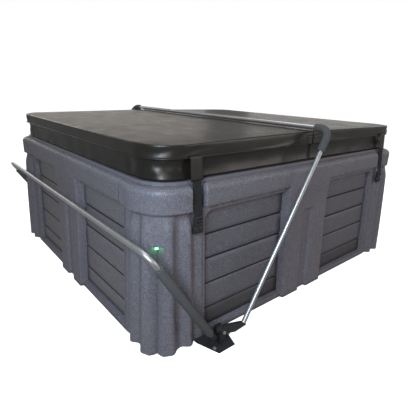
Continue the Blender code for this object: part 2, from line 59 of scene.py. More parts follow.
LENGTH = 2.14
WIDTH = 1.97
# the gap between two neighbouring CAD solids
SEAM = 0.0003
SHOULDER = wall_high.z
COLUMN = LENGTH / 2 - wall_high.x - SEAM

# cabinet skin, as the CAD model has it
WALL_IN = 0.008
BATTER = 0.025 / 0.66
FRIEZE_LOW = 0.675
FRIEZE_OUT = 0.03
OPENING_LOW = 0.03
OPENING_HIGH = 0.65
OPENING_RADIUS = 0.055
EDGE_STRIP = 0.012
PILASTER_OUT = 0.02
PILASTER_HALF = {"long": 0.19, "end": 0.16}
GROOVE_HALF = 0.04
GROOVE_HIGH = 0.52
GROOVE_DEEP = 0.018
BOARD_GROOVES = (0.13, 0.267, 0.40, 0.525)
BOARD_GROOVE_HALF = 0.006
BOARD_GROOVE_DEEP = 0.008
BOARD_CROWN = 0.0012
BOARD_THICK = 0.010
PANEL_FACE = 0.0333
# (distance from the corner, half width, height) of each rib
RIBS = ((0.195, 0.045, 0.026), (0.095, 0.040, 0.014))
COLUMN_IN = 0.012
COLUMN_TOP = 0.665
RIB_FADE = 0.09
FLUTE_HALF = 0.042
FLUTE_DEEP = 0.032
FLUTE_HIGH = 0.53
RADIUS_LOW = 0.07
RADIUS_HIGH = 0.19
SLOT_START = 0.205
SLOT_DEEP = 0.036
SHOULDER_R = 0.03
SHEET_THICK = 0.004
FLANGE_TOP = 0.802
FLANGE_INNER = {"X": 0.90, "Y": 0.825}

# cover
COVER_INSET = 0.037
COVER_FAR = LENGTH / 2 - COVER_INSET
COVER_WIDE = WIDTH / 2 - COVER_INSET
COVER_RADIUS = 0.16
COVER_LOW = 0.8853
BAND_LOW = 0.897
EDGE_R = 0.007
COVER_TOP_EDGE = 0.955
COVER_TOP_FOLD = 0.967
SKIRT_IN = 0.018
SKIRT_LOW = 0.804
SKIRT_THICK = 0.003
FOLD_HALF_GAP = 0.004
HINGE_LENGTH = 1.85
HINGE_HALF = 0.040
HINGE_LIFT = 0.0012
FLAP_LOW = 0.893
FLAP_HEIGHT = 0.050
FLAP_OUT = 0.0030
FLAP_THICK = 0.0015

# lifter
PIVOT = Vector((-0.735, 0.06))
BAR = Vector((0.0, 0.985))
ARM_Y = 1.05
TUBE_R = 0.0125
ARM_ANGLE = radians(59.06)
BEND_R = 0.06
ELBOW_KNEE = Vector((-0.5861, 0.008))
ELBOW_SOCKET = 0.11
FOAM_OUT = 0.021
FOAM_IN = 0.0132
CRADLE_FOOT = Vector((-0.795, 0.06))
CRADLE_BEND = Vector((-1.125, 0.565))
JOINER_HALF = 0.0303
SLEEVE_ALONG = 0.13
SLEEVE_END_Y = 0.956
LEG_SLEEVE_START = 0.014
LEG_SLEEVE_SHORT = 0.075

# ---- camera and light
CAMERA_PLACE = (-1.7447, -2.1081, 1.1728)
CAMERA_TURN = -40.475
CAMERA_DOWN = 18.481
CAMERA_ROLL = 1.820
CAMERA_LENS = 30.97


def linked(made):
    bpy.context.scene.collection.objects.link(made)
    return made


camera = linked(bpy.data.objects.new("camera", bpy.data.cameras.new("camera")))
camera.data.sensor_width = 36.0
camera.data.lens = CAMERA_LENS
camera.data.clip_end = 100.0
camera.matrix_world = (
    Matrix.Translation(CAMERA_PLACE)
    @ Matrix.Rotation(radians(CAMERA_TURN), 4, "Z")
    @ Matrix.Rotation(radians(90 - CAMERA_DOWN), 4, "X")
    @ Matrix.Rotation(radians(CAMERA_ROLL), 4, "Z")
)
bpy.context.scene.camera = camera


def area_light(name, place, target, size, power, colour):
    """A soft light aimed at a target: a disk, or a rectangle where the size is a pair."""
    lamp = bpy.data.lights.new(name, "AREA")
    lamp.shape = "RECTANGLE" if isinstance(size, tuple) else "DISK"
    if isinstance(size, tuple):
        lamp.size, lamp.size_y = size
    else:
        lamp.size = size
    lamp.energy = power
    lamp.color = colour
    made = linked(bpy.data.objects.new(name, lamp))
    made.location = place
    made.rotation_euler = (Vector(target) - Vector(place)).to_track_quat("-Z", "Y").to_euler()
    made.visible_camera = False


AMBIENT = 0.24
SOFT_WHITE = (1.0, 0.96, 0.92)
# name: (place, target, size, power, colour)
LIGHTS = {
    "ceiling": ((0.3, 0.2, 4.2), (0, 0, 0.9), 3.6, 70, SOFT_WHITE),
    "window": ((-2.15, -1.75, 1.55), (-1.0, -0.92, 0.55), 0.6, 25, (0.50, 0.78, 1.0)),
    "key": ((-3.2, -3.2, 2.0), (-0.9, -0.8, 0.4), 1.6, 62, (1.0, 0.97, 0.97)),
    "fill": ((2.9, -4.3, 1.9), (0.6, -0.8, 0.4), 2.8, 42, SOFT_WHITE),
    "back_wall": ((1.9, 5.4, 1.6), (1.9, 0.0, 1.3), (5.2, 2.0), 19, (1.0, 0.92, 0.83)),
    "side_wall": ((5.4, 1.2, 1.6), (0.0, 1.2, 1.3), (7.0, 2.0), 25, SOFT_WHITE),
    "strip": ((-1.4, 5.2, 2.5), (-1.1, 0.5, 0.6), (1.8, 1.2), 16, (1.0, 0.98, 0.97)),
}

bpy.context.scene.view_settings.view_transform = "Standard"
# the backdrop is white, and the air that lights the tub is dimmer
world = bpy.data.worlds.new("studio")
bpy.context.scene.world = world
world.use_nodes = True
air = world.node_tree
seen_directly = air.nodes.new("ShaderNodeLightPath").outputs["Is Camera Ray"]
strength = air.nodes.new("ShaderNodeMapRange")
air.links.new(seen_directly, strength.inputs["Value"])
strength.inputs["To Min"].default_value = AMBIENT
strength.inputs["To Max"].default_value = 1.0
background = air.nodes["Background"]
background.inputs["Color"].default_value = (1, 1, 1, 1)
air.links.new(strength.outputs["Result"], background.inputs["Strength"])
for name, setting in LIGHTS.items():
    area_light(name, *setting)


# ---- materials
class Look:
    """A Principled material and short calls for its texture nodes."""

    def __init__(self, name, colour, roughness, metallic=0.0, specular=0.5):
        self.material = bpy.data.materials.new(name)
        self.material.use_nodes = True
        self.tree = self.material.node_tree
        self.shader = self.tree.nodes["Principled BSDF"]
        self.set(self.shader, {
            "Base Color": (*colour, 1.0), "Roughness": roughness, "Metallic": metallic,
            "Specular IOR Level": specular,
        })
        self.where = self.node("ShaderNodeTexCoord").outputs["Object"]

    def set(self, made, values):
        for key, value in values.items():
            if isinstance(value, bpy.types.NodeSocket):
                self.tree.links.new(value, made.inputs[key])
            else:
                made.inputs[key].default_value = value

    def node(self, kind, values=None, **settings):
        made = self.tree.nodes.new(kind)
        for key, value in settings.items():
            setattr(made, key, value)
        self.set(made, values or {})
        return made

    def noise(self, scale, detail=3.0, roughness=0.5):
        made = self.node("ShaderNodeTexNoise", {
            "Vector": self.where, "Scale": scale, "Detail": detail, "Roughness": roughness})
        return made.outputs["Fac"]

    def cells(self, scale):
        made = self.node("ShaderNodeTexVoronoi", {"Vector": self.where, "Scale": scale})
        return made.outputs["Distance"]

    def waves(self, direction, values):
        made = self.node(
            "ShaderNodeTexWave", {"Vector": self.where, **values}, bands_direction=direction)
        return made.outputs["Fac"]

    def ramp(self, factor, stops):
        made = self.node("ShaderNodeValToRGB", {"Fac": factor})
        ramp = made.color_ramp
        while len(ramp.elements) < len(stops):
            ramp.elements.new(0.5)
        for element, (position, colour) in zip(ramp.elements, stops):
            element.position = position
            element.color = (*colour, 1.0)
        return made.outputs["Color"]

    def math(self, operation, *values):
        return self.node("ShaderNodeMath", dict(enumerate(values)), operation=operation).outputs[0]

    def mix(self, factor, first, second, blend="MIX"):
        made = self.node("ShaderNodeMix", data_type="RGBA", blend_type=blend)
        sockets = (made.inputs[0], made.inputs[6], made.inputs[7])
        for socket, value in zip(sockets, (factor, first, second)):
            if isinstance(value, bpy.types.NodeSocket):
                self.tree.links.new(value, socket)
            else:
                socket.default_value = (*value, 1.0) if isinstance(value, tuple) else value
        return made.outputs[2]

    def range(self, value, low, high, to_low, to_high):
        made = self.node("ShaderNodeMapRange", {
            "Value": value, "From Min": low, "From Max": high, "To Min": to_low, "To Max": to_high})
        return made.outputs["Result"]

    def colour(self, socket):
        self.tree.links.new(socket, self.shader.inputs["Base Color"])

    def rough(self, socket):
        self.tree.links.new(socket, self.shader.inputs["Roughness"])

    def bump(self, height, distance, strength=1.0):
        """Adds a bump under the ones that are there already."""
        before = self.shader.inputs["Normal"].links
        made = self.node("ShaderNodeBump", {
            "Height": height, "Distance": distance, "Strength": strength})
        if before:
            self.tree.links.new(before[0].from_socket, made.inputs["Normal"])
        self.tree.links.new(made.outputs["Normal"], self.shader.inputs["Normal"])


def grey(value, warm=0.0):
    """An even grey, or a slightly warm one."""
    return (value * (1 + warm), value, value * (1 - warm))


def scaled(colour, factor):
    return tuple(channel * factor for channel in colour)


def granite(name, base, dark_below=None, grooves=()):
    """Moulded plastic with a fine speckle, painted shade in its grooves, and darker below a height.
    """
    look = Look(name, base, 0.48, specular=0.45)
    darker = scaled(base, 0.50)
    lighter = (2.0 * base[0], 2.1 * base[1], 2.2 * base[2])
    speck = look.noise(300.0, 2.0, 0.6)
    colour = look.ramp(speck, [(0.36, darker), (0.46, base), (0.55, base), (0.66, lighter)])
    clumps = look.range(look.noise(60.0, 2.0), 0.3, 0.7, 0.88, 1.12)
    drift = look.range(look.noise(2.2, 2.0), 0.3, 0.7, 0.92, 1.08)
    shade = look.ramp(look.math("MULTIPLY", clumps, drift), [(0.0, grey(0.0)), (1.0, grey(1.0))])
    colour = look.mix(1.0, colour, shade, "MULTIPLY")
    height = look.node("ShaderNodeSeparateXYZ", {"Vector": look.where}).outputs["Z"]
    # painted shade: the colour darkens along each groove, where shade falls in the V
    for groove in grooves:
        near = look.math("COMPARE", height, groove, 0.005)
        colour = look.mix(near, colour, scaled(base, 0.22))
    if dark_below:
        below = look.range(height, dark_below - 0.001, dark_below + 0.001, 1.0, 0.0)
        colour = look.mix(below, colour, look.mix(0.75, colour, (0.040, 0.036, 0.037)))
    look.colour(colour)
    look.rough(look.range(look.noise(90.0), 0.3, 0.7, 0.40, 0.54))
    look.bump(look.noise(300.0, 3.0), 0.0007, 0.6)
    look.bump(look.noise(35.0, 2.0), 0.0012, 0.35)
    return look.material


def vinyl(name, base, roughness):
    """Dark upholstery vinyl with a fine leather grain."""
    look = Look(name, base, roughness, specular=0.5)
    look.set(look.shader, {"Specular Tint": (1.0, 0.95, 0.90, 1.0)})
    look.colour(look.ramp(look.noise(5.0, 4.0), [(0.3, base), (0.75, scaled(base, 1.5))]))
    look.rough(look.range(look.noise(12.0, 3.0), 0.3, 0.7, roughness - 0.03, roughness + 0.05))
    look.bump(look.cells(420.0), 0.0004, 0.25)
    look.bump(look.noise(3.5, 2.0), 0.006, 0.15)
    return look.material


def moulded(name, base, roughness, grain=900.0):
    """Plain plastic or paint with a fine grain."""
    look = Look(name, base, roughness)
    look.colour(look.ramp(look.noise(30.0, 3.0), [(0.3, base), (0.8, scaled(base, 1.5))]))
    look.rough(look.range(look.noise(60.0), 0.3, 0.7, roughness - 0.05, roughness + 0.08))
    look.bump(look.noise(grain, 2.0), 0.0003, 0.5)
    return look.material


def galvanised(name):
    """Zinc-coated steel tube: a soft spangle, a brushed run and a little dulling."""
    look = Look(name, (0.56, 0.56, 0.57), 0.30, metallic=0.92)
    spangle = look.ramp(look.cells(140.0), [(0.0, (0.54, 0.54, 0.55)), (1.0, (0.64, 0.64, 0.65))])
    dull = look.range(look.noise(9.0, 3.0), 0.35, 0.7, 0.0, 0.5)
    look.colour(look.mix(dull, spangle, (0.48, 0.47, 0.47)))
    look.rough(look.range(look.noise(45.0, 4.0), 0.3, 0.7, 0.36, 0.44))
    look.bump(look.noise(260.0), 0.0001, 0.15)
    return look.material


def foam(name):
    """Closed-cell pipe foam."""
    look = Look(name, (0.055, 0.055, 0.057), 0.95, specular=0.2)
    pores = [(0.0, (0.050, 0.050, 0.052)), (0.7, (0.105, 0.104, 0.106))]
    look.colour(look.ramp(look.cells(380.0), pores))
    look.bump(look.cells(380.0), 0.0008, 0.6)
    look.bump(look.noise(40.0), 0.002, 0.3)
    return look.material


def webbing(name):
    """Woven polypropylene: fine ribs crossed by wider ones."""
    look = Look(name, (0.020, 0.019, 0.020), 0.75, specular=0.3)
    ribs = look.waves("Z", {"Scale": 260.0, "Distortion": 1.5, "Detail": 1.0})
    cross = look.waves("X", {"Scale": 160.0, "Distortion": 0.5})
    weave = look.math("MULTIPLY", ribs, cross)
    look.colour(look.ramp(weave, [(0.0, (0.012, 0.012, 0.013)), (1.0, (0.045, 0.043, 0.044))]))
    look.bump(weave, 0.0007, 0.8)
    return look.material


def acrylic(name):
    """Pale marbled acrylic inside the tub, and the cabinet's colour on its outer flange."""
    look = Look(name, (0.60, 0.60, 0.61), 0.22)
    look.set(look.shader, {"Coat Weight": 0.5, "Coat Roughness": 0.08})
    flecks = look.ramp(
        look.noise(260.0, 2.0), [(0.40, grey(0.52)), (0.50, grey(0.68)), (0.62, grey(0.78))])
    marble = look.ramp(look.noise(2.6, 6.0, 0.62), [
        (0.36, (0.62, 0.65, 0.70)), (0.5, grey(1.0)), (0.62, grey(0.86, 0.02))])
    white = look.mix(1.0, flecks, marble, "MULTIPLY")
    place = look.node("ShaderNodeSeparateXYZ", {"Vector": look.where}).outputs
    below = look.range(place["Z"], FLANGE_TOP, FLANGE_TOP + 0.001, 1.0, 0.0)
    outside = [
        look.math("GREATER_THAN", look.math("ABSOLUTE", place[axis]), inner)
        for axis, inner in FLANGE_INNER.items()
    ]
    flange = look.math("MULTIPLY", look.math("MAXIMUM", *outside), below)
    look.colour(look.mix(flange, white, CABINET))
    look.rough(look.range(flange, 0.0, 1.0, 0.22, 0.5))
    look.bump(look.noise(6.0), 0.002, 0.2)
    return look.material


def lens(name, colour, strength):
    """A lit lamp lens."""
    deep, pale = (0.15, 0.50, 0.25), (0.30, 0.70, 0.40)
    look = Look(name, pale, 0.15)
    look.set(look.shader, {"Emission Color": (*colour, 1.0), "Emission Strength": strength})
    look.colour(look.ramp(look.noise(200.0), [(0.3, deep), (0.7, pale)]))
    look.bump(look.cells(500.0), 0.0004, 0.5)
    return look.material


def pleated(name):
    """A filter cartridge's folded paper."""
    look = Look(name, (0.80, 0.80, 0.82), 0.9)
    folds = look.waves("X", {"Scale": 55.0})
    look.colour(look.ramp(folds, [(0.0, (0.60, 0.61, 0.64)), (1.0, (0.86, 0.86, 0.88))]))
    look.bump(folds, 0.004, 0.8)
    return look.material


CABINET = (0.142, 0.129, 0.146)
GRANITE = granite("granite_moulding", CABINET)
# painted shade: the long sides' boards are a darker copy of the board plastic; the end boards keep
# about the cabinet's own colour
BOARD_LONG_SHADED = granite("board_long_painted_shade", (0.112, 0.103, 0.116), BOARD_GROOVES[0], BOARD_GROOVES)
BOARD_END = granite("board_end", (0.152, 0.136, 0.144), None, BOARD_GROOVES)
VINYL_TOP = vinyl("cover_vinyl", (0.012, 0.0095, 0.008), 0.30)
# painted shade: the skirt's vinyl is a darker copy of the cover's vinyl, for the shade under the
# band
VINYL_SKIRT_SHADED = vinyl("skirt_vinyl_painted_shade", (0.009, 0.0072, 0.0062), 0.31)
WELT = vinyl("welt_vinyl", (0.012, 0.010, 0.009), 0.34)
BLACK = moulded("black_plastic", (0.016, 0.016, 0.017), 0.42)
PAN = moulded("pan_plastic", (0.03, 0.03, 0.03), 0.7)
COATED = moulded("powder_coat", (0.018, 0.018, 0.020), 0.45, grain=500.0)
MOTOR = moulded("pump_paint", (0.10, 0.11, 0.13), 0.45, grain=500.0)
STEEL = galvanised("galvanised_tube")
FOAM = foam("foam_sleeve")
WEBBING = webbing("strap_webbing")
SHELL = acrylic("vessel_shell")
LENS = lens("lamp_lens", (0.08, 1.0, 0.20), 17.0)
PLEATS = pleated("filter_media")

floor_look = Look("floor", (0.95, 0.95, 0.95), 0.9, specular=0.1)
floor_look.colour(floor_look.ramp(floor_look.noise(0.6), [(0.3, grey(0.93)), (0.7, grey(0.96))]))
floor_look.set(floor_look.shader, {"Emission Color": (1, 1, 1, 1), "Emission Strength": 0.82})


# ---- mesh helpers
def from_bmesh(name, shape, look, smooth_angle):
    """A bmesh as an object in the scene, smooth up to an angle between its faces."""
    mesh = bpy.data.meshes.new(name)
    shape.to_mesh(mesh)
    shape.free()
    mesh.materials.append(look)
    made = linked(bpy.data.objects.new(name, mesh))
    mesh.shade_smooth()
    mesh.set_sharp_from_angle(angle=radians(smooth_angle))
    return made


def modified(made, kind, **settings):
    change = made.modifiers.new(kind.lower(), kind)
    for key, value in settings.items():
        setattr(change, key, value)
    return made


def thickened(made, thickness, offset=-1.0):
    return modified(made, "SOLIDIFY", thickness=thickness, offset=offset)


def eased(shape, edges, offset, segments=2):
    bmesh.ops.bevel(
        shape, geom=edges, offset=offset, segments=segments, profile=0.5, affect="EDGES")


def applied(made):
    """The object with its modifiers applied."""
    seen = bpy.context.evaluated_depsgraph_get()
    mesh = bpy.data.meshes.new_from_object(made.evaluated_get(seen))
    old = made.data
    made.modifiers.clear()
    made.data = mesh
    bpy.data.meshes.remove(old)
    return made


def grid(name, rows, look, smooth_angle, closed=False, keep=None):
    """A skin over rows of points; keep(row, column) says which cells are made."""
    shape = bmesh.new()
    made = [[shape.verts.new(point) for point in row] for row in rows]
    for i, (low, high) in enumerate(zip(made, made[1:])):
        count = len(low)
        for j in range(count if closed else count - 1):
            k = (j + 1) % count
            if keep is None or keep(i, j):
                shape.faces.new((low[j], low[k], high[k], high[j]))
    loose = [v for v in shape.verts if not v.link_faces]
    bmesh.ops.delete(shape, geom=loose, context="VERTS")
    return from_bmesh(name, shape, look, smooth_angle)


MARK_STEPS = (-1.0, -0.66, -0.33, 0.0, 0.33, 0.66, 1.0)
LEAST_STEP = 0.0008


def lines(low, high, step, *marks):
    """Grid lines from low to high, and closer ones round each (mark, half width)."""
    count = max(1, round((high - low) / step))
    found = [low + (high - low) * i / count for i in range(count + 1)]
    for mark, half in marks:
        found += [mark + half * t for t in MARK_STEPS]
    found = sorted(min(high, max(low, v)) for v in found if low - 1e-6 < v < high + 1e-6)
    kept = [found[0]]
    for value in found[1:]:
        if value - kept[-1] > LEAST_STEP:
            kept.append(value)
    return kept


def poly_curve(name, path, radius, resolution, capped=True):
    """A round curve object along a path of points."""
    curve = bpy.data.curves.new(name, "CURVE")
    curve.dimensions = "3D"
    curve.bevel_depth = radius
    curve.bevel_resolution = resolution
    curve.use_fill_caps = capped
    line = curve.splines.new("POLY")
    line.points.add(len(path) - 1)
    for point, place in zip(line.points, path):
        point.co = (*place, 1.0)
    return linked(bpy.data.objects.new(name, curve))


def smooth(low, high, value):
    """0 at low and 1 at high, eased at both ends; low may be the larger."""
    share = min(1.0, max(0.0, (value - low) / (high - low)))
    return share * share * (3 - 2 * share)


def shoulder(z, top, radius):
    """How far a rounded top edge has turned in at a height."""
    rise = z - (top - radius)
    return radius - sqrt(max(0.0, radius * radius - rise * rise)) if rise > 0 else 0.0


def stand_in(made, body, slot, *replaced):
    """The piece rides a body, in place of the CAD nodes named; slot is not used."""
    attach(made, body)
    if replaced:
        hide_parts(*replaced)
    return made


# ---- corner columns
def rib_height(side, z):
    """How far the ribs stand out at a distance from the corner; they fade out under the cap."""
    total = sum(
        high * cos(pi / 2 * (side - middle) / half) ** 2
        for middle, half, high in RIBS if abs(side - middle) < half
    )
    rib_top = COLUMN_TOP + 0.01
    return total * smooth(rib_top, rib_top - RIB_FADE, z)


def corner_point(z, share, slotted):
    """A point on the corner's outer face. share runs from -1 to 1 and is 0 on the diagonal."""
    cap = smooth(COLUMN_TOP - 0.004, COLUMN_TOP + 0.012, z)
    low_radius = RADIUS_LOW + (RADIUS_HIGH - RADIUS_LOW) * min(z, COLUMN_TOP) / COLUMN_TOP * 0.6
    radius = low_radius + (RADIUS_HIGH - low_radius) * cap
    arc = radius * pi / 4
    run = abs(share) * (COLUMN - radius + arc)
    if run < arc:
        turn = pi / 4 + run / radius
        side = radius - radius * cos(turn)
        across = radius - radius * sin(turn)
        normal = Vector((-cos(turn), -sin(turn)))
    else:
        side = radius + run - arc
        across = 0.0
        normal = Vector((0.0, -1.0))
    set_in = COLUMN_IN * smooth(0.10, 0.16, side)
    set_in -= (COLUMN_IN - WALL_IN) * smooth(0.235, 0.275, side)
    column_out = rib_height(side, z) - set_in - BATTER * z
    if z <= FLUTE_HIGH + 1e-6:
        depth = max(0.0, 1 - run / FLUTE_HALF)
        column_out -= FLUTE_DEEP * depth * (0.6 + 0.4 * smooth(0.0, 0.4, depth))
    turn_in = shoulder(z, SHOULDER, SHOULDER_R)
    cap_out = 0.004 - turn_in
    if slotted:
        cap_out += (-SLOT_DEEP - cap_out) * smooth(SLOT_START - 0.005, SLOT_START + 0.005, side)
    else:
        frieze_out = FRIEZE_OUT - WALL_IN - BATTER * z - turn_in
        cap_out += (frieze_out - cap_out) * smooth(0.17, 0.275, side)
    out = column_out + (cap_out - column_out) * cap
    return side + normal.x * out, across + normal.y * out


def column_shares():
    """Shares of the way round the corner, closer at the flute and at the strap slot."""
    found = set()
    total = COLUMN - RADIUS_LOW + RADIUS_LOW * pi / 4
    marks = [(0.0, 0.006), (FLUTE_HALF / total, 0.02), ((SLOT_START - 0.016) / total, 0.05)]
    for value in lines(0.0, 1.0, 0.03, *marks):
        found.update((value, -value))
    return sorted(found)


def corner_skin(name, sign_x, sign_y):
    """One corner's outer skin; the strap slot is on its long side."""
    heights = lines(
        0.0, SHOULDER, 0.02, (COLUMN_TOP + 0.004, 0.012), (COLUMN_TOP - RIB_FADE / 2, 0.04),
        (SHOULDER - SHOULDER_R / 2, SHOULDER_R / 2), (0.003, 0.003))
    heights = sorted({*heights, FLUTE_HIGH, FLUTE_HIGH + 0.0012})
    shares = column_shares()
    move = Vector((sign_x * LENGTH / 2, sign_y * WIDTH / 2, 0.0))

    def point(z, share, inward=0.0):
        along, across = corner_point(z, share, slotted=share > 0)
        x, y = (along, across) if share > 0 else (across, along)
        x += inward
        y += inward
        return move + Vector((-sign_x * x, -sign_y * y, z))

    rows = [[point(z, share) for share in shares] for z in heights]
    rows += [[point(SHOULDER, share, inward) for share in shares] for inward in (0.012, 0.024)]
    if sign_x * sign_y < 0:
        rows = [row[::-1] for row in rows]
    return thickened(grid(name, rows, GRANITE, smooth_angle=40), SHEET_THICK)


for side, sign_y in SIDES.items():
    for end, sign_x in ENDS.items():
        skin = corner_skin(f"corner_skin_{side}_{end}", sign_x, sign_y)
        stand_in(skin, "tub", "granite_moulding", f"corner_{side}_{end}")


# ---- walls
def opening_distance(s, z, start, end):
    """Signed distance into the opening, negative inside, with the upper outer corner rounded."""
    left = start - s
    right = s - end
    down = OPENING_LOW - z
    up = z - OPENING_HIGH
    across = right + OPENING_RADIUS
    over = up + OPENING_RADIUS
    if across > 0 and over > 0:
        return max(hypot(across, over) - OPENING_RADIUS, left, down)
    return max(left, right, down, up)


def wall_out(s, z, half, pilaster):
    """How far the wall's face stands out from the footprint line at s along and z up."""
    reach = abs(s)
    out = -WALL_IN
    post = smooth(pilaster + 0.004, pilaster - 0.006, reach)
    frieze = smooth(FRIEZE_LOW - 0.004 - 0.12 * post, FRIEZE_LOW + 0.008, z)
    groove = smooth(GROOVE_HALF + 0.004, GROOVE_HALF - 0.006, reach)
    groove *= smooth(GROOVE_HIGH + 0.004, GROOVE_HIGH - 0.006, z)
    out += (PILASTER_OUT * post - GROOVE_DEEP * groove) * (1 - frieze) + FRIEZE_OUT * frieze
    inside = -opening_distance(reach, z, pilaster, half - EDGE_STRIP)
    out -= (PANEL_FACE - WALL_IN + 0.006) * smooth(-0.001, 0.007, inside)
    out -= shoulder(z, SHOULDER, SHOULDER_R)
    return out - BATTER * z


def to_side(quarter_turns, distance):
    """From the wall's own frame, facing -Y, to its side of the cabinet."""
    turn = Matrix.Rotation(pi / 2 * quarter_turns, 4, "Z")
    return turn @ Matrix.Translation((0.0, -distance, 0.0))


def wall_skin(name, half, pilaster, stand, square_end):
    """One wall's outer skin with its two openings left out."""
    end = half - SEAM
    opening_end = end - EDGE_STRIP
    marks = [(way * mark, half_width) for way in (-1, 1) for mark, half_width in (
        (pilaster, 0.010), (GROOVE_HALF, 0.008), (opening_end, 0.010),
        (opening_end - OPENING_RADIUS / 2, OPENING_RADIUS / 2), (end, 0.008))]
    along = lines(-end, end, 0.04, *marks)
    up = lines(0.0, SHOULDER, 0.04, (OPENING_LOW, 0.010), (OPENING_HIGH, 0.010),
               (OPENING_HIGH - OPENING_RADIUS / 2, OPENING_RADIUS / 2), (FRIEZE_LOW, 0.010),
               (GROOVE_HIGH, 0.008), (SHOULDER - SHOULDER_R / 2, SHOULDER_R / 2))

    def place(s, z, inward=0.0):
        """A point of the skin; the frieze's ends are rounded where a strap slot is beside them."""
        out = wall_out(s, z, end, pilaster) - inward
        height = z
        if square_end and z > FRIEZE_LOW:
            share = (z - FRIEZE_LOW) / (SHOULDER - FRIEZE_LOW)
            out -= 0.7 * shoulder(abs(s), end, 0.010)
            height -= shoulder(abs(s), end, 0.026) * share ** 3
        return stand @ Vector((s, -out, height))

    def row(z, inward=0.0):
        """One line of the skin, with a return at each end that closes the frieze's side."""
        middle = [place(s, z, inward) for s in along]
        return [place(-end, z, inward + 0.040), *middle, place(end, z, inward + 0.040)]

    rows = [row(z) for z in up]
    rows += [row(SHOULDER, inward) for inward in (0.010, 0.022)]

    def keep(i, j):
        if i + 1 >= len(up) or j == 0 or j == len(along):
            return True
        middle_s = (along[j - 1] + along[j]) / 2
        middle_z = (up[i] + up[i + 1]) / 2
        return opening_distance(abs(middle_s), middle_z, pilaster, opening_end) > -0.010

    return thickened(grid(name, rows, GRANITE, smooth_angle=50, keep=keep), SHEET_THICK)


def board_panel(name, low_s, high_s, stand, look):
    """Board-effect panel: five crowned boards with rounded V-grooves between them."""
    marks = [(z, BOARD_GROOVE_HALF) for z in BOARD_GROOVES]
    up = lines(OPENING_LOW + 0.007, OPENING_HIGH + 0.018, 0.03, *marks)
    edges = [0.0, *BOARD_GROOVES, OPENING_HIGH + 0.02]

    def depth(z):
        nearest = min(abs(z - groove) for groove in BOARD_GROOVES)
        cut = BOARD_GROOVE_DEEP * (1 - smooth(0.0, BOARD_GROOVE_HALF, nearest))
        for low, high in zip(edges, edges[1:]):
            if low <= z <= high:
                share = (z - low) / (high - low)
                return cut - BOARD_CROWN * sin(pi * share)
        return cut

    along = lines(low_s, high_s, 0.06)
    rows = []
    for z in up:
        y = PANEL_FACE + 0.0014 + BATTER * z + depth(z)
        rows.append([stand @ Vector((s, y, z)) for s in along])
    return thickened(grid(name, rows, look, smooth_angle=60), BOARD_THICK)


# (half length, distance from the middle, pilaster's half width)
LONG_WALL = (LENGTH / 2, WIDTH / 2, PILASTER_HALF["long"])
END_WALL = (WIDTH / 2, LENGTH / 2, PILASTER_HALF["end"])
# side: (quarter turns, sizes, low end, high end)
WALLS = {
    "front": (0, LONG_WALL, "left", "right"),
    "right": (1, END_WALL, "front", "back"),
    "back": (2, LONG_WALL, "right", "left"),
    "left": (3, END_WALL, "back", "front"),
}
for side, (turns, (half, distance, pilaster), low_end, high_end) in WALLS.items():
    stand = to_side(turns, distance)
    skin = wall_skin(f"wall_skin_{side}", half - COLUMN, pilaster, stand, square_end=side in SIDES)
    stand_in(skin, "tub", "granite_moulding", f"wall_{side}")
    start = pilaster - 0.008
    end = half - COLUMN - 0.004
    # painted shade: the long sides take the darker copy of the boards
    look = BOARD_LONG_SHADED if side in SIDES else BOARD_END
    for tag, low_s, high_s in ((low_end, -end, -start), (high_end, start, end)):
        boards = board_panel(f"boards_{side}_{tag}", low_s, high_s, stand, look)
        stand_in(boards, "tub", "board_panel", f"panel_{side}_{tag}")


# ---- cover
CORNER_CELLS = 10
# shares of the way from the middle to the edge, over the top and under the slab
TOP_SHARES = (0.02, 0.1, 0.25, 0.4, 0.55, 0.68, 0.8, 0.88, 0.94, 0.975, 0.99)
UNDER_SHARES = (0.93, 0.8, 0.6, 0.4, 0.2, 0.02)
EDGE_TURNS = (15, 40, 65, 90)
BAND_HEIGHTS = (0.943, 0.935, 0.927, 0.919, 0.911, 0.904, BAND_LOW + 0.002)
# (inset, height) of each ring from the band's lower edge in to the underside
TURN_UNDER = ((0.002, BAND_LOW), (0.012, BAND_LOW - 0.002), (0.03, COVER_LOW + 0.002))
FOLD_START = 0.911
FOLD_STEP = 0.04
FOLD_POINTS = 46
SLAB_MIDDLE = Vector((-0.50, 0.0))


def half_outline(inset, step=0.04):
    """The -X half's edge in plan as (point, outward way), from -Y at the fold round to +Y."""
    far = COVER_FAR - inset
    wide = COVER_WIDE - inset
    radius = COVER_RADIUS - inset
    straight = far - radius - FOLD_HALF_GAP
    run = 2 * (wide - radius)

    def corner(centre_y, first):
        """A quarter turn of points, clockwise from first half turns."""
        found = []
        for i in range(CORNER_CELLS + 1):
            turn = pi * (first - 0.5 * i / CORNER_CELLS)
            way = Vector((cos(turn), sin(turn)))
            found.append((Vector((-far + radius, centre_y)) + way * radius, way))
        return found

    count = round(straight / step)
    points = [
        (Vector((-FOLD_HALF_GAP - straight * i / count, -wide)), Vector((0, -1)))
        for i in range(count)]
    points += corner(-wide + radius, 1.5)
    end_count = round(run / step)
    points += [
        (Vector((-far, -wide + radius + run * i / end_count)), Vector((-1, 0)))
        for i in range(1, end_count)]
    points += corner(wide - radius, 1.0)
    points += [
        (Vector((-far + radius + straight * i / count, wide)), Vector((0, 1)))
        for i in range(1, count + 1)]
    return points


def top_height(x):
    """The cover's top falls evenly from the fold to the end."""
    rise = COVER_TOP_FOLD - COVER_TOP_EDGE
    return COVER_TOP_EDGE + rise * (1 - min(1.0, abs(x) / COVER_FAR))


def crumpled(point, normal):
    """1 on the rounded corners, where the vinyl is gathered, falling to 0 along the sides."""
    bend = abs(normal.x * normal.y) * 2
    far = COVER_FAR - COVER_RADIUS
    wide = COVER_WIDE - COVER_RADIUS
    away = max(far - abs(point.x), 0.0) + max(wide - abs(point.y), 0.0)
    return max(bend, smooth(0.16, 0.0, away))


